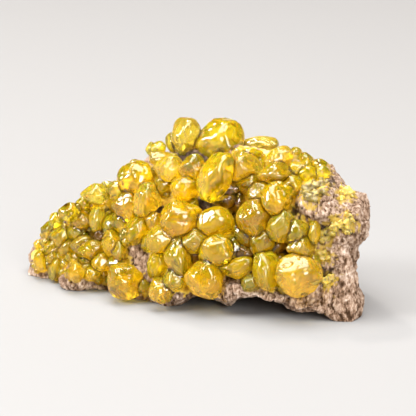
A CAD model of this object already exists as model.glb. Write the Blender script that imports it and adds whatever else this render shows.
"""Native sulfur on matrix: a broken block of porous rock with a crust of clear sulfur crystals.

Metres, +Z up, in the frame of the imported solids. The display face looks along -Y. Sizes in the classes
below are in millimetres. A place on the display face is given as (across, rise) on the display plane,
as seen by someone who looks down on the block by VIEW_ELEVATION degrees from VIEW_DISTANCE away.
"""

import logging
import math
import random
from dataclasses import dataclass, field, replace
from enum import Enum
from itertools import product

import bmesh
import bpy
import numpy as np
from mathutils import Euler, Matrix, Vector, noise
from mathutils.bvhtree import BVHTree


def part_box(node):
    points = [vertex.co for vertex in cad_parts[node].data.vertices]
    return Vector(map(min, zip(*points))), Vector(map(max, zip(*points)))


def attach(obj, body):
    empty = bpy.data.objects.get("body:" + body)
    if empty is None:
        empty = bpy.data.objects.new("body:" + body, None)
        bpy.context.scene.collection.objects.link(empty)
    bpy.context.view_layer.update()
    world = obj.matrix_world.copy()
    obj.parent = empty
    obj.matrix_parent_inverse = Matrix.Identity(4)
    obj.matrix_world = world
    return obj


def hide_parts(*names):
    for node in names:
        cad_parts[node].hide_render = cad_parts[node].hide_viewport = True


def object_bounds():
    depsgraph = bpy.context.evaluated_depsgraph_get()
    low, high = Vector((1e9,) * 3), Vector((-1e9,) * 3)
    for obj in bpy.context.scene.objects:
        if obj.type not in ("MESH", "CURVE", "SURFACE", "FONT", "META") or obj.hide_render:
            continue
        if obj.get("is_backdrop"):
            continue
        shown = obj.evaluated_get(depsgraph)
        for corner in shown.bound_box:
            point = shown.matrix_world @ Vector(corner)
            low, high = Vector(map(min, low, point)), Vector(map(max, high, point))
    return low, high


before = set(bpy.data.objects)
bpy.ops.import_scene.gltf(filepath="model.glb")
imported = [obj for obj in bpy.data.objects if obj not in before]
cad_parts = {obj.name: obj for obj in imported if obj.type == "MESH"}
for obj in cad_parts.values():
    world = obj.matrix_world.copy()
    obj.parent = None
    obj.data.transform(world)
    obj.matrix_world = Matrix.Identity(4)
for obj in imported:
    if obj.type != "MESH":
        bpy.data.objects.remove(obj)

MM = 0.001
LOG = logging.getLogger("sulfur")

# Where the design's datum is in the frame: across 0, at the depth of the front foot, on the floor.
DATUM = Vector((0.8, -31.85, 0.0)) * MM
VIEW_ELEVATION = 15.0
VIEW_DISTANCE = 800.0
PLANE_DEPTH = 28.0
EYE_RISE = 33.0

# A share that stands for none, and a distance in mm beyond any crystal's reach.
TINY = 1e-9
FAR = 9.0

# How far apart the noises of two crystals can start, and shifts that make a noise unlike another.
NOISE_SPAN = 50.0
SECOND_NOISE = Vector((9.0, 9.0, 9.0))
CRACK_NOISE = Vector((7.0, 3.0, 1.0))


class Habit(Enum):
    """The shape of a crystal: slope of its pyramid faces, their distance, and that of its ends."""

    BLOCK = ((1.0, 1.0, 1.0), 1.56, (0.94, 0.94, 0.92))
    TALL = ((1.25, 1.15, 0.8), 1.53, (0.92, 0.92, 0.96))
    FLAT = ((0.8, 0.9, 1.3), 1.56, (0.97, 0.94, 0.86))


class Growth(Enum):
    """How clear a crystal has grown, as the colour that its surface lets through."""

    CLEAR = "#ffe424"
    PALE = "#ffe750"
    AMBER = "#ffdb1e"
    SMOKY = "#a87e1c"
    DULL = "#c8b050"
    OLIVE = "#8f7f46"


BLOCK, TALL, FLAT = Habit
CLEAR, PALE, AMBER, SMOKY, DULL, OLIVE = Growth
GRAINY = (DULL, OLIVE)


@dataclass(frozen=True)
class Crystal:
    """One crystal: its place on the display plane, its size, and how it stands and has grown.

    Args:
        across: place across the display plane, in mm.
        rise: place up the display plane, in mm.
        width: size across, in mm.
        height: size up, in mm.
        lift: how far its centre stands out of the rock, as a share of its thickness.
        roll: its turn in the display plane, in degrees.
        habit: its shape.
        growth: how clear it is.
    """

    across: float
    rise: float
    width: float
    height: float
    lift: float = 0.15
    roll: float = 0.0
    habit: Habit = Habit.BLOCK
    growth: Growth = Growth.CLEAR

    @property
    def thick(self) -> float:
        """Its size along the line of sight, in mm."""
        return 0.5 * (self.width + self.height)


def crystals(*rows: tuple) -> tuple[Crystal, ...]:
    """The crystals whose place, size, lift, roll, habit and growth the rows give, in that order."""
    return tuple(Crystal(*row) for row in rows)


CREST = crystals(
    (-2.7, 60.4, 9.0, 12.2, 0.1, 10, BLOCK, PALE), (7.6, 58.7, 14.6, 15.0, 0.1, 14),
    (-7.4, 58.0, 4.4, 6.6, 0.1, -10, TALL), (-12.6, 56.6, 4.4, 4.2, 0.1),
    (-15.0, 56.3, 3.2, 4.2, 0.1, 15), (13.8, 58.8, 4.0, 5.4, 0.0),
)
UPPER = crystals(
    (-11.5, 53.0, 7.4, 4.6, 0.1, 10, FLAT, PALE), (-9.2, 49.8, 8.6, 7.6, 0.25, 0, BLOCK, PALE),
    (-8.6, 46.6, 5.6, 4.0, 0.1, -20), (-1.4, 49.7, 7.8, 8.0, 0.25),
    (7.2, 47.2, 9.8, 14.8, 0.35, 28, TALL), (15.6, 50.4, 12.2, 9.0, 0.25, 5, BLOCK, PALE),
    (-3.4, 43.0, 8.2, 6.8, 0.05, 0, BLOCK, AMBER), (-10.6, 44.4, 6.2, 6.0, 0.1, 20),
    (-20.0, 46.3, 10.6, 10.2, 0.2, -15), (-20.0, 50.6, 4.4, 4.0, 0.1, 30),
    (-16.0, 39.3, 8.0, 10.2, 0.35, 8, TALL, PALE), (-23.3, 37.3, 8.6, 9.6, 0.25, -5, BLOCK, AMBER),
    (-26.6, 42.9, 5.0, 5.0, 0.1, 0, BLOCK, PALE), (-29.6, 44.0, 3.6, 3.0, 0.0),
    (11.8, 43.0, 6.6, 4.6, 0.05, -15, FLAT, SMOKY), (9.3, 39.4, 8.4, 5.0, 0.05, -10, FLAT, SMOKY),
    (13.6, 38.0, 5.4, 7.8, -0.1, 0, TALL, SMOKY), (18.4, 44.4, 8.6, 6.8, 0.15, 5, BLOCK, AMBER),
    (18.2, 54.0, 7.4, 5.4, 0.15, -10), (21.6, 57.4, 10.4, 5.6, 0.1, -8, FLAT, PALE),
    (27.8, 53.2, 8.2, 6.2, 0.15, -15, FLAT, PALE), (26.8, 47.9, 11.2, 7.4, 0.25, -5),
    (22.0, 41.4, 8.2, 7.0, 0.2, 15, BLOCK, AMBER), (27.6, 39.6, 9.8, 10.6, 0.3, -10, BLOCK, AMBER),
    (31.8, 44.0, 6.2, 6.8, 0.1), (33.8, 49.2, 7.0, 5.6, 0.0, -20, FLAT, PALE),
)
MIDDLE = crystals(
    (-4.6, 33.3, 12.2, 10.4, 0.3, -8), (-1.0, 37.2, 4.0, 4.6, 0.1, 20),
    (-13.6, 32.2, 6.4, 5.6, 0.05, 0, BLOCK, AMBER), (6.6, 32.4, 10.8, 8.8, 0.25, -12),
    (13.0, 31.4, 3.2, 6.0, -0.2, 0, TALL, SMOKY), (20.0, 33.6, 11.2, 10.4, 0.3, -5),
    (16.9, 28.3, 7.2, 7.2, 0.2), (22.4, 25.2, 7.4, 8.4, 0.3),
    (29.5, 30.5, 9.2, 9.2, 0.25, 15, BLOCK, PALE), (34.2, 28.8, 7.6, 7.2, 0.3, -20),
    (38.8, 28.6, 4.6, 7.4, 0.1, 0, TALL, PALE), (35.0, 23.7, 8.6, 7.8, 0.25, 10),
    (27.4, 24.2, 6.4, 5.4, 0.0, 0, FLAT, SMOKY), (-0.2, 25.9, 8.8, 7.6, 0.25, -10),
    (0.8, 21.4, 7.4, 6.0, 0.0, 0, BLOCK, SMOKY), (7.0, 22.3, 9.2, 10.0, 0.3, 30),
    (12.4, 22.8, 6.4, 7.4, 0.1, 0, BLOCK, AMBER), (16.4, 21.8, 8.4, 5.6, 0.0, 10, FLAT, SMOKY),
    (-5.8, 20.5, 8.6, 12.0, 0.35, 0, TALL), (-11.0, 26.2, 9.4, 8.4, 0.25),
    (-11.6, 17.8, 7.0, 9.2, 0.2, 5), (-15.8, 24.6, 4.4, 5.0, 0.1, -10, TALL),
    (-19.0, 29.2, 8.0, 9.4, 0.2, 15),
)
LOWER = crystals(
    (2.8, 13.5, 10.8, 11.6, 0.25), (13.0, 16.7, 10.6, 6.4, 0.1, 10, FLAT, AMBER),
    (17.8, 16.8, 6.0, 6.6, 0.0, 0, BLOCK, SMOKY), (24.0, 15.7, 8.4, 11.6, 0.3, -4, TALL),
    (34.0, 14.4, 12.8, 12.2, 0.3, 5, BLOCK, PALE), (38.8, 18.4, 4.8, 4.8, 0.2),
    (38.2, 12.8, 5.0, 4.6, 0.25), (18.4, 11.8, 5.6, 6.0, 0.1, 20, BLOCK, PALE),
    (28.4, 19.0, 4.8, 5.0, 0.0, 0, BLOCK, AMBER), (29.6, 10.6, 6.4, 4.2, 0.0, 0, FLAT, AMBER),
    (-11.2, 9.1, 7.8, 7.6, 0.2, 15), (-7.2, 13.0, 7.4, 7.2, 0.2, -30), (-17.4, 10.6, 4.0, 4.0, 0.15),
    (-23.2, 12.6, 10.6, 10.8, 0.25), (-25.4, 18.2, 7.6, 5.6, 0.1, 0, BLOCK, AMBER),
)
LEFT = crystals(
    (-25.0, 21.8, 5.4, 6.6, 0.15, 10), (-27.8, 24.6, 6.2, 8.6, 0.2, 0, TALL),
    (-24.4, 31.6, 7.0, 6.8, 0.1, -15), (-28.4, 31.4, 4.8, 6.8, 0.1, 20, TALL),
    (-33.2, 41.2, 9.2, 6.2, 0.15, 0, BLOCK, PALE), (-33.5, 37.9, 8.8, 5.0, 0.3, -8, FLAT),
    (-37.6, 38.0, 4.4, 4.0, 0.0), (-42.2, 35.4, 6.6, 5.8, 0.1, 10), (-46.2, 32.6, 4.4, 4.6, 0.1),
    (-49.0, 28.8, 5.4, 6.0, 0.1, 20), (-38.0, 32.2, 8.4, 6.0, 0.1, 5, BLOCK, AMBER),
    (-32.8, 32.6, 5.2, 7.4, 0.2, 0, TALL, PALE), (-31.6, 27.0, 5.2, 5.4, 0.0, 0, BLOCK, SMOKY),
    (-40.0, 28.4, 5.6, 6.0, 0.1), (-38.2, 24.3, 6.4, 5.4, 0.3, 0, BLOCK, PALE),
    (-34.4, 22.4, 8.6, 6.4, 0.2, -10), (-44.8, 27.0, 6.6, 6.6, 0.15), (-42.8, 23.4, 5.8, 6.4, 0.05, 30),
    (-47.6, 22.8, 6.0, 5.0, 0.0), (-51.6, 18.8, 4.8, 6.6, 0.1, -10, TALL),
    (-46.8, 16.2, 4.6, 6.8, 0.1, 0, TALL), (-34.6, 14.7, 6.0, 4.4, 0.1), (-40.0, 15.2, 5.8, 6.0, 0.05),
    (-31.4, 18.4, 6.2, 5.8, 0.0, 0, BLOCK, AMBER), (-37.0, 18.8, 5.4, 5.2, 0.05),
)
ROUGH = crystals(
    (37.4, 48.0, 5.4, 5.0, 0.0), (41.8, 48.4, 5.4, 5.0, 0.0, 30, BLOCK, PALE),
    (41.2, 51.0, 4.4, 3.8, 0.0), (36.2, 52.8, 5.0, 4.2, 0.0, 0, FLAT),
    (33.2, 55.0, 4.0, 3.6, 0.0, 0, BLOCK, PALE), (37.6, 43.6, 7.6, 5.0, 0.0, 0, FLAT, OLIVE),
    (42.0, 44.4, 5.0, 5.4, 0.0, 0, BLOCK, OLIVE), (38.4, 40.4, 5.6, 4.0, 0.0, 0, FLAT, OLIVE),
    (50.2, 41.6, 4.8, 7.6, 0.0, 20, TALL, DULL), (46.4, 31.2, 5.2, 6.0, 0.05, 0, BLOCK, DULL),
    (50.4, 31.4, 4.4, 7.6, 0.0, 10, TALL, DULL), (43.2, 27.0, 4.6, 4.6, 0.05, 0, BLOCK, DULL),
    (42.4, 20.4, 4.8, 4.8, 0.05, 0, BLOCK, DULL), (43.8, 13.0, 3.4, 3.8, 0.1, 0, BLOCK, DULL),
)
CRYSTALS = CREST + UPPER + MIDDLE + LOWER + LEFT + ROUGH


@dataclass(frozen=True)
class Group:
    """Crystals that are one piece of the model.

    Args:
        name: the piece's name.
        crystals: its crystals.
        nodes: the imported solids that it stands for.
    """

    name: str
    crystals: tuple[Crystal, ...]
    nodes: tuple[str, ...]


GROUPS = (
    Group("crest_crystals", CREST, ("sulfur_cluster_1",)),
    Group("upper_crystals", UPPER, ("sulfur_crust", "sulfur_cluster_2", "sulfur_cluster_3")),
    Group("middle_crystals", MIDDLE, ("sulfur_crust",)),
    Group("lower_crystals", LOWER, ("sulfur_crust",)),
    Group("left_end_crystals", LEFT, ("sulfur_crust", "sulfur_cluster_6")),
    Group("rim_crystals", ROUGH, ("sulfur_crust", "sulfur_cluster_7")),
)
SMALL_NODES = ("sulfur_crust",)
GRAINY_NODES = ("sulfur_cluster_4", "sulfur_cluster_5", "sulfur_cluster_8")

# The outline of the crust on the display plane, and the round places left bare in it, in mm.
# A round place is given by its place across and up, and its radius.
CRUST_AREA = (
    (-54.0, 15.5), (-54.5, 22.0), (-50.0, 30.0), (-44.0, 35.5), (-37.0, 40.0), (-26.0, 45.0),
    (-19.0, 51.5), (-12.0, 55.5), (10.0, 55.0), (19.0, 58.5), (27.0, 57.0), (33.0, 53.5),
    (42.0, 50.5), (44.5, 44.0), (35.0, 40.5), (32.5, 35.0), (40.5, 31.5), (40.5, 20.0),
    (39.5, 11.0), (31.0, 9.5), (17.5, 11.0), (6.0, 9.5), (-12.0, 7.0), (-26.0, 10.0),
    (-36.0, 13.5), (-48.0, 14.5),
)
BARE = (
    (-17.8, 18.6, 4.0), (-14.6, 14.0, 3.0), (-20.6, 23.2, 3.0), (-3.0, 54.6, 4.2), (2.8, 52.8, 2.8),
    (2.5, 38.2, 3.0), (-11.8, 34.6, 2.4), (30.8, 22.2, 2.4), (32.6, 53.2, 2.6), (-48.6, 14.6, 2.4),
    (-36.0, 10.5, 3.0), (12.8, 10.5, 4.4), (14.0, 25.6, 2.0), (-17.0, 52.8, 2.8),
)

# The deep places where dirt lies dark on rock and sulfur.
DEEP = (
    (-4.6, 53.6, 2.6), (-1.0, 54.2, 2.4), (2.6, 53.4, 2.2), (2.4, 38.2, 2.8), (6.0, 37.8, 1.8),
    (13.2, 34.6, 1.8), (13.4, 41.0, 2.2), (9.6, 41.6, 2.6), (13.6, 28.8, 1.8), (13.2, 25.4, 1.6),
    (31.0, 22.0, 2.6), (-11.7, 34.7, 2.0), (33.0, 35.5, 2.2), (45.3, 45.2, 1.6), (43.0, 14.0, 2.4),
    (42.5, 30.0, 1.4), (-29.6, 36.2, 1.8), (-36.0, 28.2, 1.6), (-19.4, 26.2, 1.4), (24.4, 21.0, 1.6),
    (1.6, 17.8, 1.6), (12.0, 13.4, 1.8), (-26.8, 27.8, 1.4), (-43.6, 31.0, 1.2), (20.0, 39.0, 1.4),
)


def linear(hex_text: str) -> tuple[float, float, float, float]:
    """Turns an sRGB hex colour into linear RGBA.

    Args:
        hex_text: six hex digits after a #.

    Returns:
        The colour as linear red, green, blue and an alpha of 1.
    """
    parts = [int(hex_text[i : i + 2], 16) / 255 for i in (1, 3, 5)]
    red, green, blue = [p / 12.92 if p <= 0.04045 else ((p + 0.055) / 1.055) ** 2.4 for p in parts]
    return red, green, blue, 1.0


def pattern_scale(apart: float) -> float:
    """The scale of a shader pattern whose features are this many millimetres apart."""
    return 1.0 / (apart * MM)


def clamp(value: float, top: float = 1.0) -> float:
    """The value, kept between zero and the top."""
    return min(top, max(0.0, value))


def rugged(spot: Vector, fade: float, octaves: int = 2, step: float = 2.0) -> float:
    """Noise of a few octaves, each finer by a step and fainter by the power of the fade."""
    return noise.fractal(spot, fade, step, octaves)


def add_node(
    tree: bpy.types.NodeTree, kind: str, inputs: dict | None = None, stops: tuple = (), **settings: object
) -> bpy.types.Node:
    """Adds a shader node with its settings, values and links.

    Args:
        tree: the node tree.
        kind: the node's type name, without the ShaderNode prefix.
        inputs: input name or number to a value, or to the output socket that feeds it.
        stops: for a colour ramp, its (place, hex colour) stops.
        settings: the node's own properties.

    Returns:
        The new node.
    """
    made = tree.nodes.new("ShaderNode" + kind)
    for name, value in settings.items():
        setattr(made, name, value)
    for name, value in (inputs or {}).items():
        if isinstance(value, bpy.types.NodeSocket):
            tree.links.new(value, made.inputs[name])
        else:
            made.inputs[name].default_value = value
    for number, (place, colour) in enumerate(stops):
        marks = made.color_ramp.elements
        stop = marks[number] if number < len(marks) else marks.new(place)
        stop.position = place
        stop.color = linear(colour)
    return made


def new_material(name: str) -> tuple[bpy.types.Material, bpy.types.NodeTree, bpy.types.Node]:
    """Makes an empty node material.

    Args:
        name: what the real material is.

    Returns:
        The material, its node tree and its output node.
    """
    material = bpy.data.materials.new(name)
    material.use_nodes = True
    material.node_tree.nodes.clear()
    output = add_node(material.node_tree, "OutputMaterial")
    return material, material.node_tree, output


def view_axes() -> tuple[Vector, Vector, Vector]:
    """The directions of the display plane.

    Returns:
        To the right, up, and away from the viewer.
    """
    tilt = math.radians(VIEW_ELEVATION)
    right = Vector((1.0, 0.0, 0.0))
    away = Vector((0.0, math.cos(tilt), -math.sin(tilt)))
    return right, right.cross(away), away


class Sight:
    """Finds where a line of sight through a place on the display plane meets the rock."""

    def __init__(self, rock: bpy.types.Object) -> None:
        """Reads the rock's surface.

        Args:
            rock: the solid that the crystals stand on.
        """
        corners = [v.co.copy() for v in rock.data.vertices]
        self.tree = BVHTree.FromPolygons(corners, [tuple(p.vertices) for p in rock.data.polygons])
        self.right, self.up, self.away = view_axes()
        self.eye = self.plane_point(0.0, EYE_RISE) - self.away * (VIEW_DISTANCE * MM)

    def plane_point(self, across: float, rise: float) -> Vector:
        """The point of the display plane at a place on it."""
        flat = DATUM + self.right * (across * MM) + self.up * (rise * MM)
        return flat + self.away * (PLANE_DEPTH * MM)

    def place_of(self, point: Vector) -> tuple[float, float]:
        """The place on the display plane where a point is seen.

        Args:
            point: the point, in metres.

        Returns:
            The place, across and up, in mm.
        """
        origin = self.plane_point(0.0, 0.0)
        direction = (point - self.eye).normalized()
        step = (origin - self.eye).dot(self.away) / direction.dot(self.away)
        spot = self.eye + direction * step - origin
        return spot.dot(self.right) / MM, spot.dot(self.up) / MM

    def meet(self, across: float, rise: float) -> tuple[Vector, Vector]:
        """Where the line of sight through a place meets the rock.

        Args:
            across: place across the display plane, in mm.
            rise: place up it, in mm.

        Returns:
            The point, beside the rock's nearest point where the line misses it, and the line's direction.
        """
        direction = (self.plane_point(across, rise) - self.eye).normalized()
        hit = self.tree.ray_cast(self.eye, direction)[0]
        if hit is None:
            near = self.tree.find_nearest(self.plane_point(across, rise))[0]
            hit = self.eye + direction * (near - self.eye).dot(direction)
        return hit, direction


def inside(point: tuple[float, float], outline: tuple) -> bool:
    """Whether a place is inside a closed outline on the display plane.

    Args:
        point: the place.
        outline: the outline's corners.

    Returns:
        True if it is inside.
    """
    x, y = point
    odd = False
    for (x0, y0), (x1, y1) in zip(outline, outline[1:] + outline[:1]):
        if (y0 > y) != (y1 > y) and x < x0 + (y - y0) * (x1 - x0) / (y1 - y0):
            odd = not odd
    return odd


def add_object(name: str, data: bpy.types.ID) -> bpy.types.Object:
    """Puts a mesh, a light or a camera into the scene.

    Args:
        name: the object's name.
        data: what it shows.

    Returns:
        The object.
    """
    made = bpy.data.objects.new(name, data)
    bpy.context.scene.collection.objects.link(made)
    return made


def turn_to(obj: bpy.types.Object, way: Vector) -> None:
    """Turns a light or a camera to look along a direction."""
    obj.rotation_mode = "QUATERNION"
    obj.rotation_quaternion = way.to_track_quat("-Z", "Y")


def apply_modifiers(obj: bpy.types.Object) -> None:
    """Makes an object's modifiers part of its mesh.

    Args:
        obj: the object.
    """
    graph = bpy.context.evaluated_depsgraph_get()
    mesh = bpy.data.meshes.new_from_object(obj.evaluated_get(graph))
    obj.modifiers.clear()
    obj.data = mesh


def remesh(obj: bpy.types.Object, facet: float) -> None:
    """Rebuilds an object's surface in even facets.

    Args:
        obj: the object.
        facet: their size, in mm.
    """
    modifier = obj.modifiers.new("remesh", "REMESH")
    modifier.mode = "VOXEL"
    modifier.voxel_size = facet * MM
    apply_modifiers(obj)


def combine(obj: bpy.types.Object, operation: str, others: list) -> None:
    """Union or difference of one closed object with several others, which are used up.

    Args:
        obj: the object that stays.
        operation: UNION or DIFFERENCE.
        others: the other objects.
    """
    group = bpy.data.collections.new(obj.name + "_operands")
    for other in others:
        group.objects.link(other)
    modifier = obj.modifiers.new("combine", "BOOLEAN")
    modifier.operation = operation
    modifier.solver = "MANIFOLD"
    modifier.operand_type = "COLLECTION"
    modifier.collection = group
    apply_modifiers(obj)
    for other in others:
        bpy.data.objects.remove(other)
    bpy.data.collections.remove(group)


def mark(mesh: bpy.types.Mesh, name: str, values: list) -> None:
    """Keeps a number for each corner of a mesh, for its material to read."""
    mesh.attributes.new(name, "FLOAT", "POINT").data.foreach_set("value", values)


def coat(mesh: bpy.types.Mesh, material: bpy.types.Material) -> None:
    """Gives a mesh smooth shading and its one material.

    Args:
        mesh: the mesh.
        material: the material.
    """
    mesh.polygons.foreach_set("use_smooth", [True] * len(mesh.polygons))
    mesh.materials.clear()
    mesh.materials.append(material)


@dataclass
class Form:
    """The rounded polyhedron of one crystal, which can tell how far a point is from its surface.

    Args:
        crystal: the crystal's place, size and growth.
        normals: the outward normals of its faces.
        distances: how far out they are, for a crystal of about unit half size.
        roundness: the power of the rounding; a lower one is rounder.
        middle: the middle of that crystal's box.
        half: the box's half sizes.
        place: the matrix that sizes, turns and places a crystal of unit half size.
    """

    crystal: Crystal
    normals: np.ndarray
    distances: np.ndarray
    roundness: float
    middle: np.ndarray
    half: np.ndarray
    place: Matrix

    def clearance(self, points: np.ndarray) -> np.ndarray:
        """How far points are outside the crystal, in mm; inside it is less than zero.

        Args:
            points: the points, in metres.

        Returns:
            The distances, about.
        """
        back = np.array(self.place.inverted())
        unit = points @ back[:3, :3].T + back[:3, 3]
        raw = unit * self.half + self.middle
        facing = np.maximum(raw @ self.normals.T / self.distances, TINY)
        level = (facing**self.roundness).sum(axis=1) ** (1.0 / self.roundness)
        across = np.linalg.norm(points - np.array(self.place.translation), axis=1) / MM
        return across * (1.0 - 1.0 / level)


@dataclass
class RoundedForms:
    """Makes crystals as rounded polyhedra, and keeps the point nets that they are made on.

    Args:
        limits: the corners of the box that the crystals stay in.
        roundness: the power of the rounding; a lower one is rounder.
        wave: how far the faces wander, as a share of the size.
        terrace: how deep the growth steps on the faces are, as a share of the size.
        proud: how much further a crystal stands out, as a share of its thickness.
        grown: its size against the part of it that shows.
        lean: the largest lean of a crystal, in degrees.
        slant: how far sloping faces and end faces may turn from their true directions.
        reach: the least and the most distance of a sloping face, against its true one.
        end_reach: the same of an end face.
        swells: how close the broad and the fine swells are, and how high the fine ones.
        steps: how close the growth steps are, and how wide the slope of one is.
        hollows: how close the etched hollows are, where one starts, and its depth against a step.
        levels: how fine the net of a crystal is, and the thickness in mm that it has to be over.
        nets: the point nets made so far.
    """

    limits: tuple
    roundness: float = 11.0
    wave: float = 0.024
    terrace: float = 0.042
    proud: float = 0.12
    grown: float = 1.17
    lean: float = 14.0
    slant: tuple = (0.22, 0.14)
    reach: tuple = (0.86, 1.04)
    end_reach: tuple = (0.9, 1.05)
    swells: tuple = (1.9, 5.0, 0.4)
    steps: tuple = (1.7, 0.16)
    hollows: tuple = (3.4, 0.12, 0.7)
    levels: tuple = ((5, 7.0), (4, 2.9), (3, 0.0))
    nets: dict = field(default_factory=dict)

    def net(self, level: int) -> tuple[np.ndarray, list]:
        """Directions evenly over a ball, and the faces between them.

        Args:
            level: how fine the net is.

        Returns:
            The directions and the faces.
        """
        if level not in self.nets:
            work = bmesh.new()
            bmesh.ops.create_icosphere(work, subdivisions=level, radius=1.0)
            points = np.array([v.co[:] for v in work.verts])
            faces = [tuple(v.index for v in f.verts) for f in work.faces]
            work.free()
            self.nets[level] = (points, faces)
        return self.nets[level]

    def planes(self, habit: Habit, rng: random.Random) -> tuple[np.ndarray, np.ndarray]:
        """The faces of a crystal of about unit half size.

        Args:
            habit: its shape.
            rng: the crystal's own random numbers.

        Returns:
            The outward normals and the distances.
        """
        slope, apart, ends = habit.value
        slant, end_slant = self.slant
        normals = []
        distances = []
        for signs in product((-1, 1), repeat=3):
            tilt = [rng.uniform(-slant, slant) for _ in range(3)]
            normal = np.array([sign * part for sign, part in zip(signs, slope)]) + tilt
            size = float(np.linalg.norm(normal))
            normals.append(normal / size)
            distances.append(apart * rng.uniform(*self.reach) / size)
        # One end face in front, two up and down, and none, one or two at the sides.
        sides = rng.sample(((0, -1), (0, 1)), rng.choice((0, 1, 2)))
        for axis, sign in ((1, -1), (2, -1), (2, 1)) + tuple(sides):
            normal = np.zeros(3)
            normal[axis] = sign
            normal = normal + [rng.uniform(-end_slant, end_slant) for _ in range(3)]
            normals.append(normal / float(np.linalg.norm(normal)))
            distances.append(ends[axis] * rng.uniform(*self.end_reach))
        return np.array(normals), np.array(distances)

    def surface(self, ways: np.ndarray, rng: random.Random) -> np.ndarray:
        """How far a crystal's surface stands out in each direction beyond its flat faces.

        Args:
            ways: the directions.
            rng: the crystal's own random numbers.

        Returns:
            The shares of the size.
        """
        shift = Vector([rng.uniform(0, NOISE_SPAN) for _ in range(3)])
        broad, fine, faint = self.swells
        close, slope = self.steps
        many, start, depth = self.hollows
        high = []
        for spot in map(Vector, ways):
            swell = noise.noise(spot * broad + shift) + faint * noise.noise(spot * fine + shift)
            step = min(slope, abs(noise.noise(spot * close - shift))) / slope
            hollow = max(0.0, noise.noise(spot * many + shift * 2.0) - start)
            high.append(self.wave * swell + self.terrace * (step - 1.0 - depth * hollow))
        return np.array(high)

    def place(self, crystal: Crystal, sight: Sight, rng: random.Random) -> Matrix:
        """The matrix that sizes, turns and places a crystal of unit half size.

        Args:
            crystal: the crystal.
            sight: finds the rock.
            rng: the crystal's own random numbers.

        Returns:
            The matrix.
        """
        hit, direction = sight.meet(crystal.across, crystal.rise)
        centre = hit - direction * ((crystal.lift + self.proud) * crystal.thick * MM)
        axes = Matrix((sight.right, sight.away, sight.up)).transposed().to_4x4()
        turn = Euler([math.radians(rng.uniform(-self.lean, self.lean)) for _ in range(3)])
        roll = Matrix.Rotation(math.radians(crystal.roll), 4, "Y")
        half = [extent * self.grown / 2 * MM for extent in (crystal.width, crystal.thick, crystal.height)]
        size = Matrix.Diagonal(half + [1.0])
        return Matrix.Translation(centre) @ axes @ turn.to_matrix().to_4x4() @ roll @ size

    def back_inside(self, points: np.ndarray) -> Vector:
        """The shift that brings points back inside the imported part's box.

        Args:
            points: the points, in metres.

        Returns:
            The shift.
        """
        low, high = (np.array(corner) for corner in self.limits)
        over = np.minimum(high - points.max(axis=0), 0.0) + np.maximum(low - points.min(axis=0), 0.0)
        return Vector(over)

    def level_of(self, crystal: Crystal) -> int:
        """How fine a crystal's net is, from its size."""
        return next(level for level, least in self.levels if crystal.thick > least)

    def crystal(self, name: str, crystal: Crystal, sight: Sight, seed: int) -> tuple[bpy.types.Object, Form]:
        """One crystal as a closed object in its place.

        Args:
            name: the object's name.
            crystal: its size and place.
            sight: finds the rock.
            seed: of its own random numbers.

        Returns:
            The object and its form.
        """
        rng = random.Random(seed)
        normals, distances = self.planes(crystal.habit, rng)
        place = self.place(crystal, sight, rng)
        ways, faces = self.net(self.level_of(crystal))
        facing = np.maximum(ways @ normals.T / distances, 0.0)
        reach = (facing**self.roundness).sum(axis=1) ** (-1.0 / self.roundness)
        points = ways * (reach * (1.0 + self.surface(ways, rng)))[:, None]
        low, high = points.min(axis=0), points.max(axis=0)
        middle, half = (low + high) / 2, (high - low) / 2
        matrix = np.array(place)
        points = (points - middle) / half @ matrix[:3, :3].T
        place.translation += self.back_inside(points + matrix[:3, 3])
        points = points + np.array(place.translation)
        mesh = bpy.data.meshes.new(name)
        mesh.from_pydata([tuple(p) for p in points], [], faces)
        form = Form(crystal, normals, distances, self.roundness, middle, half, place)
        return add_object(name, mesh), form


@dataclass(frozen=True)
class SulfurFinish:
    """Native sulfur, grown as crystals: wet-looking glass that is yellow through and through.

    Args:
        name: the material's name.
        body: the colour that a thick piece turns.
        density: how fast it turns, per metre.
        roughness: of its surface.
        clear: how much of the light goes in, against what is scattered at the surface.
        depth: how far the scattered light travels under the surface, in mm.
        ior: matched below the 1.96 of real sulfur, which makes mirrors of crystals this small.
        cloud: how much the milky veils in it hide its colour.
        veil: the colour of those veils.
        veil_apart: how far apart they are, in mm.
        veil_edge: where in the noise a veil starts, and where it is full.
        travel: how far red, green and blue light go, as shares of the depth.
    """

    name: str
    body: str
    density: float
    roughness: float
    clear: float
    depth: float
    ior: float
    cloud: float = 0.25
    veil: str = "#ffea80"
    veil_apart: float = 2.381
    veil_edge: tuple = (0.5, 0.64)
    travel: tuple = (1.0, 0.75, 0.15)

    def material(self) -> bpy.types.Material:
        """Makes the material.

        Returns:
            The material, which reads each crystal's tint from the mesh as "growth".
        """
        material, tree, output = new_material(self.name)
        where = add_node(tree, "TexCoord").outputs["Object"]
        growth = add_node(tree, "Attribute", attribute_name="growth").outputs["Color"]
        wisps = {"Vector": where, "Scale": pattern_scale(self.veil_apart), "Detail": 3.0, "Distortion": 0.8}
        veil = add_node(tree, "TexNoise", wisps).outputs["Fac"]
        thin, full = self.veil_edge
        milk = {"Value": veil, "From Min": thin, "From Max": full, "To Max": self.cloud}
        share = add_node(tree, "MapRange", milk).outputs[0]
        tint = add_node(tree, "Mix", {0: share, 6: growth, 7: linear(self.veil)}, data_type="RGBA")
        look = {
            "Base Color": tint.outputs[2],
            "Roughness": self.roughness,
            "IOR": self.ior,
            "Transmission Weight": self.clear,
            "Subsurface Weight": 1.0,
            "Subsurface Radius": self.travel,
            "Subsurface Scale": self.depth * MM,
        }
        shader = add_node(tree, "BsdfPrincipled", look)
        inner = add_node(tree, "VolumeAbsorption", {"Color": linear(self.body), "Density": self.density})
        tree.links.new(shader.outputs[0], output.inputs["Surface"])
        tree.links.new(inner.outputs[0], output.inputs["Volume"])
        return material


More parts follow.
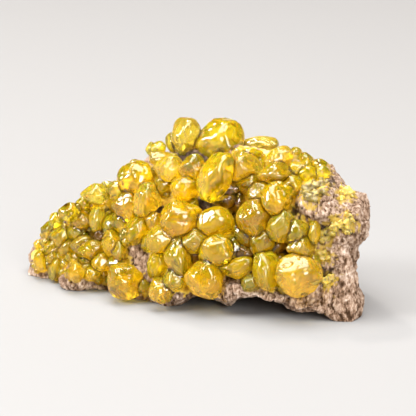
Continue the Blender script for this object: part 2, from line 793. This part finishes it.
# Native sulfur grown in an open hollow: faces as smooth as wet glass with small, sharp glints, lemon
# where it is thin and honey where it is thick, and faintly milky inside.
CLEAR_SULFUR = SulfurFinish(
    "clear_native_sulfur", body="#ffda4a", density=34.0, roughness=0.06, clear=0.875, depth=2.5, ior=1.62
)

# Fine-grained native sulfur, laid down as a crumbly mass: every grain scatters the light, so it looks
# dull and soft, a paler yellow, and hardly lets light through.
DULL_SULFUR = SulfurFinish(
    "grainy_native_sulfur", body="#ffee60", density=60.0, roughness=0.4, clear=0.2, depth=1.0, ior=1.6,
    cloud=0.2,
)


@dataclass(frozen=True)
class MatrixRockFinish:
    """Porous marl with calcite, broken and weathered: dusty and full of pits, dull all over.

    The broken faces give the eye a speckle of pale grains and dark pores, brownish pink, with no gloss.

    Args:
        name: the material's name.
        ridge: colour of the rubbed ridges.
        pale: colour of the dry faces.
        middle: colour of the broken faces.
        dark: colour of the small pits.
        soil: colour of the dirt in the deep places.
        bed: colours of the sulfur skin under the crystals, thin to thick.
        dust: colour of the sulfur dust on the bare rock.
        cloud_apart: how far apart its paler and darker areas are, in mm.
        speck_apart: how far apart its pores and grains are, in mm. The real ones are 0.2 to 1 mm apart,
            too fine to show, so they are drawn about 1 mm apart.
        flat: how wide the pores are, against their height.
        strengths: how strongly areas and specks mark its tone, against its relief.
        tones: where the tones start, dark to ridge, and beds, those of the sulfur skin.
        pore_depth: how deep the pores look, in mm.
    """

    name: str = "broken_porous_marl"
    ridge: str = "#ecd9ca"
    pale: str = "#c8af9a"
    middle: str = "#8e715b"
    dark: str = "#44301f"
    soil: str = "#20120a"
    bed: tuple = ("#b08428", "#e4c656", "#f0dc94")
    dust: str = "#c2a23c"
    cloud_apart: float = 6.667
    speck_apart: float = 1.0526
    flat: float = 0.5
    strengths: tuple = (0.5, 1.9)
    tones: tuple = (0.64, 0.76, 0.9, 1.0)
    beds: tuple = (0.38, 0.5, 0.66)
    pore_depth: float = 0.4

    def material(self) -> bpy.types.Material:
        """Makes the material.

        Returns:
            The material, which reads "relief", "dust", "crust" and "dirt" from the mesh.
        """
        material, tree, output = new_material(self.name)
        where = add_node(tree, "TexCoord").outputs["Object"]
        drawn = add_node(tree, "Mapping", {"Vector": where, "Scale": (1.0, 1.0, self.flat)}).outputs[0]
        areas = {"Vector": where, "Scale": pattern_scale(self.cloud_apart), "Detail": 5.0, "Roughness": 0.6}
        cloud = add_node(tree, "TexNoise", areas).outputs["Fac"]
        pores = {"Vector": drawn, "Scale": pattern_scale(self.speck_apart), "Detail": 4.0, "Roughness": 0.75}
        speck = add_node(tree, "TexNoise", pores).outputs["Fac"]
        level = add_node(tree, "Attribute", attribute_name="relief").outputs["Fac"]
        for pattern, strength in zip((cloud, speck), self.strengths):
            mixed = {0: pattern, 1: strength, 2: level}
            level = add_node(tree, "Math", mixed, operation="MULTIPLY_ADD").outputs[0]
        half = add_node(tree, "Math", {0: level, 1: 2.0}, operation="DIVIDE").outputs[0]
        colours = (self.dark, self.middle, self.pale, self.ridge)
        colour = add_node(tree, "ValToRGB", {"Fac": half}, tuple(zip(self.tones, colours))).outputs[0]
        skin = add_node(tree, "ValToRGB", {"Fac": cloud}, tuple(zip(self.beds, self.bed))).outputs[0]
        for layer, over in (("dust", linear(self.dust)), ("crust", skin), ("dirt", linear(self.soil))):
            share = add_node(tree, "Attribute", attribute_name=layer).outputs["Fac"]
            colour = add_node(tree, "Mix", {0: share, 6: colour, 7: over}, data_type="RGBA").outputs[2]
        bump = add_node(tree, "Bump", {"Height": speck, "Strength": 0.6, "Distance": self.pore_depth * MM})
        look = {"Base Color": colour, "Roughness": 0.92, "Specular IOR Level": 0.15, "Normal": bump.outputs[0]}
        shader = add_node(tree, "BsdfPrincipled", look)
        tree.links.new(shader.outputs[0], output.inputs["Surface"])
        return material


@dataclass(frozen=True)
class Pattern:
    """A pattern in the relief of a surface.

    Args:
        apart: how far apart its features are, in mm.
        high: how high or deep they are, in mm.
        wide: how wide they are, as a share of that distance.
    """

    apart: float
    high: float
    wide: float = 1.0


@dataclass(frozen=True)
class Stains:
    """Where sulfur skin, sulfur dust and dirt lie on the rock.

    Args:
        wander: how far apart the bays of a stain's edge are, in mm.
        edge: how far the edge of the crust wanders, in mm, and that of a bare place in it.
        turned: how squarely the rock has to face the viewer for the skin, and how much that wanders.
        hidden: how far it may face away and still have soil or dust.
        soil: how far round a deep place the soil reaches, in mm, and its most.
        upward: where a face starts to be turned up, and how soon it fully is.
        weather: how dark that makes it.
        dust: how far apart the dust's patches are, in mm.
        dust_reach: how far from a dull patch it lies, in mm, and how it thins out beyond.
        dust_gain: how sharp its edges are, and its most.
    """

    wander: float = 1.7
    edge: tuple = (2.6, 1.6)
    turned: tuple = (0.36, 0.3)
    hidden: float = -0.2
    soil: tuple = (0.5, 0.9)
    upward: tuple = (0.1, 0.6)
    weather: float = 0.42
    dust: float = 1.6
    dust_reach: tuple = (3.6, 0.26)
    dust_gain: tuple = (2.4, 0.85)

    def at(self, point: Vector, normal: Vector, sight: Sight) -> tuple[float, float, float]:
        """How much of each lies at a point of the rock.

        Args:
            point: the point, in metres.
            normal: the rock's outward direction there.
            sight: the display plane.

        Returns:
            The skin, the dust and the dirt, each from 0 to 1.
        """
        spot = point / MM
        across, rise = sight.place_of(point)
        facing = -normal.dot(sight.away)
        bay = spot / self.wander
        sway = Vector((noise.noise(bay), noise.noise(bay + SECOND_NOISE)))
        edge, bare_edge = self.edge
        moved = (across + sway.x * edge, rise + sway.y * edge)
        open_rock = any(math.hypot(across - x, rise - y) < r + sway.x * bare_edge for x, y, r in BARE)
        least, loose = self.turned
        skin = float(facing + loose * sway.y > least and not open_rock and inside(moved, CRUST_AREA))
        start, span = self.upward
        dirt = self.weather * clamp((normal.z - start) / span) * (1.0 - skin)
        dust = 0.0
        if facing > self.hidden:
            full, most = self.soil
            deep = min(math.hypot(moved[0] - x, moved[1] - y) - r for x, y, r in DEEP)
            dirt = max(dirt, clamp(full - deep, most))
            near = min(math.hypot(across - c.across, rise - c.rise) for c in ROUGH)
            reach, thinning = self.dust_reach
            patch = rugged(spot / self.dust, fade=0.8, octaves=3) - (near - reach) * thinning
            gain, most = self.dust_gain
            dust = clamp(patch * gain, most)
        return skin, dust, dirt


@dataclass
class RockBlock:
    """The rock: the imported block, rebuilt in fine facets and weathered.

    Its real crumbs and ribs are 0.3 to 1.5 mm wide. The finer ones are drawn as coarse as shows.

    Args:
        facet: the size of its facets, in mm.
        soften: how often the rebuilt surface is smoothed, and by how much.
        foot: how far up from the floor the relief fades in, in mm.
        swell: its broad swells.
        rib: the ribs that run up it.
        rib_long: how long those are, in mm.
        crumb: the crumbs on it.
        pit: the pits in it.
        pit_flat: how wide a pit is, against its height.
        crack: the cracks in it.
        sunk: how much is worn off all over, in mm.
        tone: the tone at the old surface, and its rise with each mm.
    """

    facet: float = 0.52
    soften: tuple = (6, 0.5)
    foot: float = 1.5
    swell: Pattern = Pattern(6.0, 0.3)
    rib: Pattern = Pattern(1.3, 0.34)
    rib_long: float = 5.0
    crumb: Pattern = Pattern(1.15, 0.34)
    pit: Pattern = Pattern(1.6, 0.75, 0.36)
    pit_flat: float = 0.6
    crack: Pattern = Pattern(6.5, 0.7, 0.06)
    sunk: float = 0.1
    tone: tuple = (0.45, 0.42)

    def relief(self, point: Vector) -> float:
        """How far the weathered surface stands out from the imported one.

        Args:
            point: a point of the surface, in mm.

        Returns:
            The height in mm, less than zero where it is worn away.
        """
        swell = rugged(point / self.swell.apart, fade=0.9, step=2.1) * self.swell.high
        ribbed = Vector((point.x / self.rib.apart, point.y / self.rib.apart, point.z / self.rib_long))
        rib = noise.noise(ribbed) * self.rib.high
        crumb = rugged(point / self.crumb.apart, fade=0.7) * self.crumb.high
        pitted = Vector((point.x, point.y, point.z * self.pit_flat)) / self.pit.apart
        pit = self.pit.high * max(0.0, self.pit.wide - noise.voronoi(pitted)[0][0]) / self.pit.wide
        beside = abs(noise.noise(point / self.crack.apart + CRACK_NOISE))
        crack = max(0.0, self.crack.wide - beside) / self.crack.wide
        return swell + rib + crumb - pit - self.crack.high * crack - self.sunk

    def build(self, packed: bpy.types.Object) -> bpy.types.Object:
        """Rebuilds the block, weathers it and colours it.

        Args:
            packed: the CAD rock.

        Returns:
            The rock.
        """
        rock = add_object("weathered_rock", packed.data.copy())
        remesh(rock, self.facet)
        smooth = rock.modifiers.new("soften", "SMOOTH")
        smooth.iterations, smooth.factor = self.soften
        apply_modifiers(rock)
        self.weather(rock.data)
        coat(rock.data, MatrixRockFinish().material())
        sight = Sight(packed)
        stains = [Stains().at(v.co, v.normal, sight) for v in rock.data.vertices]
        for name, values in zip(("crust", "dust", "dirt"), zip(*stains)):
            mark(rock.data, name, values)
        return rock

    def weather(self, mesh: bpy.types.Mesh) -> None:
        """Raises the relief from the rock's surface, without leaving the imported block's box.

        Args:
            mesh: the rock's mesh.
        """
        low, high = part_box("rock_matrix")
        normals = [v.normal.copy() for v in mesh.vertices]
        tones = []
        for vertex, normal in zip(mesh.vertices, normals):
            share = clamp(vertex.co.z / MM / self.foot)
            rise = self.relief(vertex.co / MM)
            tones.append(clamp(self.tone[0] + self.tone[1] * rise))
            vertex.co += normal * (rise * share * MM)
            for axis in range(3):
                vertex.co[axis] = min(high[axis], max(low[axis], vertex.co[axis]))
        mark(mesh, "relief", tones)


@dataclass
class SmallGrowth:
    """The small crystals between the large ones, denser at the left end and along the rims.

    Args:
        seed: of its random numbers.
        corner: the lowest place on the left, in mm.
        rows: how many rows there are, and how many places in each.
        pitch: how far apart they are, in mm.
        stray: how far a crystal strays from its place, in mm.
        size: the least and the most width, in mm.
        slender: the least and the most height, against the width.
        lift: how far those on the rims may stand out.
        roll: the largest turn, in degrees.
        left_end: where the dense left end stops, and where the part beside it does.
        shoulder: where the dense upper right rim starts, across and up.
        gaps: the share of empty places on the rims, beside the left end and elsewhere.
        clear_of: how far they keep from a dull patch, in mm.
    """

    seed: int = 5
    corner: tuple = (-56.0, 8.0)
    rows: tuple = (22, 45)
    pitch: float = 2.4
    stray: float = 0.8
    size: tuple = (2.0, 3.8)
    slender: tuple = (0.8, 1.25)
    lift: float = 0.3
    roll: float = 40.0
    left_end: tuple = (-36.0, -22.0)
    shoulder: tuple = (30.0, 38.0)
    gaps: tuple = (0.1, 0.5, 0.8)
    clear_of: float = 4.0

    def crystals(self) -> list[Crystal]:
        """Sets the crystals out in rows.

        Returns:
            The crystals.
        """
        rng = random.Random(self.seed)
        dull = tuple((c.across, c.rise, self.clear_of) for c in ROUGH if c.growth in GRAINY)
        left, beside = self.left_end
        made = []
        for row, column in product(range(self.rows[0]), range(self.rows[1])):
            across = self.corner[0] + (column + 0.5 * (row % 2)) * self.pitch
            across += rng.uniform(-self.stray, self.stray)
            rise = self.corner[1] + row * self.pitch + rng.uniform(-self.stray, self.stray)
            size = rng.uniform(*self.size)
            tall = size * rng.uniform(*self.slender)
            rim = across < left or (across > self.shoulder[0] and rise > self.shoulder[1])
            empty = rng.random() < self.gaps[0 if rim else 1 if across < beside else 2]
            growth = rng.choice((CLEAR, CLEAR, PALE, PALE, AMBER))
            lift = rng.uniform(0.0, self.lift) if rim else 0.0
            roll = rng.uniform(-self.roll, self.roll)
            bare = any(math.hypot(across - x, rise - y) < r for x, y, r in BARE + DEEP + dull)
            if inside((across, rise), CRUST_AREA) and not bare and not empty:
                made.append(Crystal(across, rise, size, tall, lift, roll, BLOCK, growth))
        return made


@dataclass
class GrainyGrowth:
    """The crumbly masses of dull sulfur on the bare rock.

    Args:
        seed: of its random numbers.
        core: the size of the lump in the middle of a patch, against the patch.
        lift: how far that stands out, and the lumps round it.
        around: how many lumps there are round it.
        ring: how far out they are, against the patch.
        size: their least and most size, in mm.
        roll: their largest turn, in degrees.
        facet: the size of the facets that they are rebuilt in, in mm.
        grain: the grains on them, under 1 mm in real ones, but drawn as coarse as shows.
        lump: the lumps that the grains gather in.
    """

    seed: int = 9
    core: float = 0.6
    lift: tuple = (-0.36, -0.2)
    around: int = 6
    ring: float = 0.38
    size: tuple = (1.2, 2.5)
    roll: float = 40.0
    facet: float = 0.33
    grain: Pattern = Pattern(1.2, 0.9, 0.5)
    lump: Pattern = Pattern(1.8, 0.4)

    def crystals(self) -> list[Crystal]:
        """Sets out the lumps that the masses are made of.

        Returns:
            The lumps.
        """
        rng = random.Random(self.seed)
        made = []
        for patch in (c for c in ROUGH if c.growth in GRAINY):
            width, height = patch.width * self.core, patch.height * self.core
            made.append(replace(patch, width=width, height=height, lift=self.lift[0]))
            for _ in range(self.around):
                turn = rng.uniform(0, 2 * math.pi)
                across = patch.across + math.cos(turn) * self.ring * patch.width
                rise = patch.rise + math.sin(turn) * self.ring * patch.height
                size = rng.uniform(*self.size)
                roll = rng.uniform(-self.roll, self.roll)
                lump = Crystal(across, rise, size, size, self.lift[1], roll, BLOCK, patch.growth)
                made.append(lump)
        return made

    def crumble(self, solid: bpy.types.Object) -> None:
        """Gives a solid the crumbly surface of fine-grained sulfur.

        Args:
            solid: the solid.
        """
        remesh(solid, self.facet)
        normals = [v.normal.copy() for v in solid.data.vertices]
        for vertex, normal in zip(solid.data.vertices, normals):
            spot = vertex.co / MM
            grain = self.grain.wide - noise.voronoi(spot / self.grain.apart)[0][0]
            lump = rugged(spot / self.lump.apart, fade=0.8)
            vertex.co += normal * ((grain * self.grain.high + lump * self.lump.high) * MM)


@dataclass
class SulfurCrust:
    """The crust of crystals, grown together.

    Args:
        seeds: of the first large crystal, the first small one and the first grain.
        joint: how wide the joint between two crystals is, in mm.
        shade: how far from another crystal a crystal darkens, as a share of its thickness.
        crease: the colour there.
        reach: how far from its middle a crystal colours the surface, against its thickness, and in mm.
        tint: the least and the most strength of a crystal's own tint.
        tint_seed: of the random numbers that pick it.
        sharp: the angle over which an edge is shaded sharp, in degrees.
    """

    seeds: tuple = (100, 1000, 3000)
    joint: float = 0.08
    shade: float = 0.1
    crease: str = "#321e00"
    reach: tuple = (0.9, 1.5)
    tint: tuple = (0.92, 1.08)
    tint_seed: int = 3
    sharp: float = 38.0

    def build(self, forms: RoundedForms, sight: Sight) -> list[tuple[bpy.types.Object, tuple]]:
        """Makes the crystals of each growth.

        Args:
            forms: makes the crystals.
            sight: finds the rock.

        Returns:
            The crust's objects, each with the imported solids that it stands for.
        """
        grainy = GrainyGrowth()
        first, first_small, first_grain = self.seeds
        clear = [(n, c) for n, c in enumerate(CRYSTALS) if c.growth not in GRAINY]
        large = [forms.crystal("crystal", c, sight, first + n) for n, c in clear]
        between = enumerate(SmallGrowth().crystals())
        small = [forms.crystal("druse", c, sight, first_small + n) for n, c in between]
        lumps = enumerate(grainy.crystals())
        grains = [forms.crystal("grain", c, sight, first_grain + n) for n, c in lumps]
        cuts = self.fit_together(large)
        druse = self.merged("small_crystals", small)
        combine(druse, "DIFFERENCE", [add_object("cut", self.swollen(form, mesh)) for mesh, form in cuts])
        dull = self.merged("grainy_sulfur", grains)
        grainy.crumble(dull)
        glass = CLEAR_SULFUR.material()
        made = []
        for group in GROUPS:
            solids = [solid for solid, form in large if form.crystal in group.crystals]
            made.append((self.joined(group.name, solids), group.nodes))
        made.append((druse, SMALL_NODES))
        for piece, _ in made:
            self.dress(piece, [form for _, form in large + small], glass)
        self.dress(dull, [form for _, form in grains], DULL_SULFUR.material())
        return made + [(dull, GRAINY_NODES)]

    def swollen(self, form: Form, mesh: bpy.types.Mesh) -> bpy.types.Mesh:
        """Makes a crystal's mesh larger all round by the joint.

        Args:
            form: the crystal's form.
            mesh: its mesh.

        Returns:
            The same mesh.
        """
        middle = form.place.translation
        for vertex in mesh.vertices:
            away = vertex.co - middle
            vertex.co = middle + away * (1.0 + self.joint * MM / away.length)
        return mesh

    def fit_together(self, large: list) -> list[tuple[bpy.types.Mesh, Form]]:
        """Cuts each crystal where a prouder one has grown against it.

        Args:
            large: the crystals, as objects and forms.

        Returns:
            Each crystal's mesh, larger by the joint, and its form, to cut other growth with.
        """
        cuts = []
        done = []
        for solid, form in sorted(large, key=lambda pair: -pair[1].crystal.lift * pair[1].crystal.thick):
            corners = np.array([v.co[:] for v in solid.data.vertices])
            box = (corners.min(axis=0), corners.max(axis=0))
            near = [cut for other, cut in done if np.all(other[0] < box[1]) and np.all(other[1] > box[0])]
            cut = self.swollen(form, solid.data.copy())
            done.append((box, cut))
            cuts.append((cut.copy(), form))
            if near:
                combine(solid, "DIFFERENCE", [add_object("cut", mesh.copy()) for mesh in near])
        return cuts

    def merged(self, name: str, solids: list) -> bpy.types.Object:
        """Makes one closed object of several that overlap.

        Args:
            name: the object's name.
            solids: the others, as objects and forms.

        Returns:
            The object.
        """
        first = solids[0][0]
        combine(first, "UNION", [solid for solid, _ in solids[1:]])
        first.name = name
        return first

    def joined(self, name: str, solids: list) -> bpy.types.Object:
        """Puts several objects that don't overlap into one.

        Args:
            name: the object's name.
            solids: the others, which are used up.

        Returns:
            The object.
        """
        work = bmesh.new()
        for solid in solids:
            work.from_mesh(solid.data)
            bpy.data.objects.remove(solid)
        mesh = bpy.data.meshes.new(name)
        work.to_mesh(mesh)
        work.free()
        return add_object(name, mesh)

    def dress(self, solid: bpy.types.Object, forms: list[Form], material: bpy.types.Material) -> None:
        """Colours an object by its crystals' growth, darker in the creases between them, and shades it.

        Args:
            solid: the object.
            forms: its crystals' forms.
            material: its material.
        """
        mesh = solid.data
        points = np.array([v.co[:] for v in mesh.vertices])
        nearest = np.full((len(points), 2), FAR)
        owner = np.zeros(len(points), dtype=int)
        for number, form in enumerate(forms):
            reach = form.crystal.thick * self.reach[0] * MM + self.reach[1] * MM
            close = np.nonzero(np.abs(points - np.array(form.place.translation)).max(axis=1) < reach)[0]
            gap = np.abs(form.clearance(points[close]))
            first = gap < nearest[close, 0]
            second = ~first & (gap < nearest[close, 1])
            nearest[close[first], 1] = nearest[close[first], 0]
            nearest[close[first], 0] = gap[first]
            nearest[close[second], 1] = gap[second]
            owner[close[first]] = number
        rng = random.Random(self.tint_seed)
        tints = [np.array(linear(form.crystal.growth.value)) * rng.uniform(*self.tint) for form in forms]
        fade = np.array([form.crystal.thick * self.shade for form in forms])
        share = np.clip(nearest[:, 1] / fade[owner], 0.0, 1.0)
        share = (share * share * (3 - 2 * share))[:, None]
        colour = np.minimum(tints, 1.0)[owner] * share + np.array(linear(self.crease)) * (1 - share)
        colour[:, 3] = 1.0
        layer = mesh.attributes.new("growth", "FLOAT_COLOR", "POINT")
        layer.data.foreach_set("color", colour.ravel())
        coat(mesh, material)
        mesh.set_sharp_from_angle(angle=math.radians(self.sharp))


@dataclass(frozen=True)
class Lamp:
    """A square soft light that faces the block.

    Args:
        name: the light's name.
        place: where it is, in metres.
        size: its side, in metres.
        power: in watts.
        colour: of its light.
    """

    name: str
    place: tuple
    size: float
    power: float
    colour: str = "#ffffff"

    def build(self, aim: Vector) -> None:
        """Hangs the light.

        Args:
            aim: the point that it faces, in metres.
        """
        data = bpy.data.lights.new(self.name, "AREA")
        data.energy = self.power
        data.size = self.size
        data.color = linear(self.colour)[:3]
        light = add_object(self.name, data)
        light.location = self.place
        turn_to(light, aim - Vector(self.place))


@dataclass
class Studio:
    """The pale floor, the soft light and the camera.

    Args:
        floor: its radius in metres, and how many sides it has.
        paper: its colour, and its roughness.
        sky: the colours round the block and above it, from what height of the sky.
        lamps: its lamps.
        aim: the point that they face, in metres.
        target: the place on the display plane that the camera faces, in mm.
        lens: its focal length, in mm.
        sensor: the width of its sensor, in mm.
        far: how far it sees, in metres.
    """

    floor: tuple = (1.7, 96)
    paper: tuple = ("#868686", 0.8)
    sky: tuple = ((0.1, "#f4f0ed"), (0.3, "#7c5c38"))
    lamps: tuple = (
        Lamp("key", (-0.36, 0.66, 1.1), 0.14, 6.8, "#fff8f0"),
        Lamp("top", (0.0, -0.14, 1.8), 1.9, 94.0),
        Lamp("front", (0.45, -1.4, 0.7), 0.6, 17.0),
        Lamp("side", (-1.1, -0.3, 0.8), 0.5, 23.0),
    )
    aim: tuple = (0.0, 0.0, 0.03)
    target: tuple = (4.0, 36.67)
    lens: float = 208.0
    sensor: float = 36.0
    far: float = 50.0

    def build(self) -> None:
        """Sets the studio up."""
        self.lay_floor()
        self.light_sky()
        for lamp in self.lamps:
            lamp.build(Vector(self.aim))
        self.set_camera()
        bpy.context.scene.view_settings.view_transform = "Standard"

    def lay_floor(self) -> None:
        """Lays the floor: matt paper, which takes a soft shadow and no reflection."""
        mesh = bpy.data.meshes.new("floor")
        work = bmesh.new()
        radius, sides = self.floor
        bmesh.ops.create_circle(work, cap_ends=True, segments=sides, radius=radius)
        work.to_mesh(mesh)
        work.free()
        floor = add_object("floor", mesh)
        material, tree, output = new_material("pale_paper_sweep")
        colour, roughness = self.paper
        shader = add_node(tree, "BsdfPrincipled", {"Base Color": linear(colour), "Roughness": roughness})
        tree.links.new(shader.outputs[0], output.inputs["Surface"])
        mesh.materials.append(material)
        floor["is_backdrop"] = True

    def light_sky(self) -> None:
        """Lights the room: bright round the block, brown and dim above it."""
        world = bpy.data.worlds.new("studio")
        bpy.context.scene.world = world
        world.use_nodes = True
        tree = world.node_tree
        way = add_node(tree, "TexCoord").outputs["Generated"]
        height = add_node(tree, "SeparateXYZ", {0: way}).outputs["Z"]
        tone = add_node(tree, "ValToRGB", {"Fac": height}, self.sky)
        tree.links.new(tone.outputs[0], tree.nodes["Background"].inputs["Color"])

    def set_camera(self) -> None:
        """Sets up the camera, square to the display plane."""
        right, up, away = view_axes()
        across, rise = self.target
        target = DATUM + (right * across + up * rise + away * PLANE_DEPTH) * MM
        data = bpy.data.cameras.new("camera")
        data.lens = self.lens
        data.sensor_width = self.sensor
        data.clip_end = self.far
        camera = add_object("camera", data)
        camera.location = target - away * (VIEW_DISTANCE * MM)
        turn_to(camera, away)
        bpy.context.scene.camera = camera


def main() -> None:
    """Builds the pieces in order and reports them."""
    logging.basicConfig(level=logging.INFO, format="%(message)s")
    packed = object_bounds()
    Studio().build()
    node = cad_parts["rock_matrix"]
    rock = RockBlock().build(node)
    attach(rock, "root")
    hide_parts("rock_matrix")
    LOG.info("%s: %d faces", rock.name, len(rock.data.polygons))
    for piece, nodes in SulfurCrust().build(RoundedForms(packed), Sight(node)):
        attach(piece, "root")
        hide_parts(*nodes)
        LOG.info("%s: %d faces", piece.name, len(piece.data.polygons))


if __name__ == "__main__":
    main()
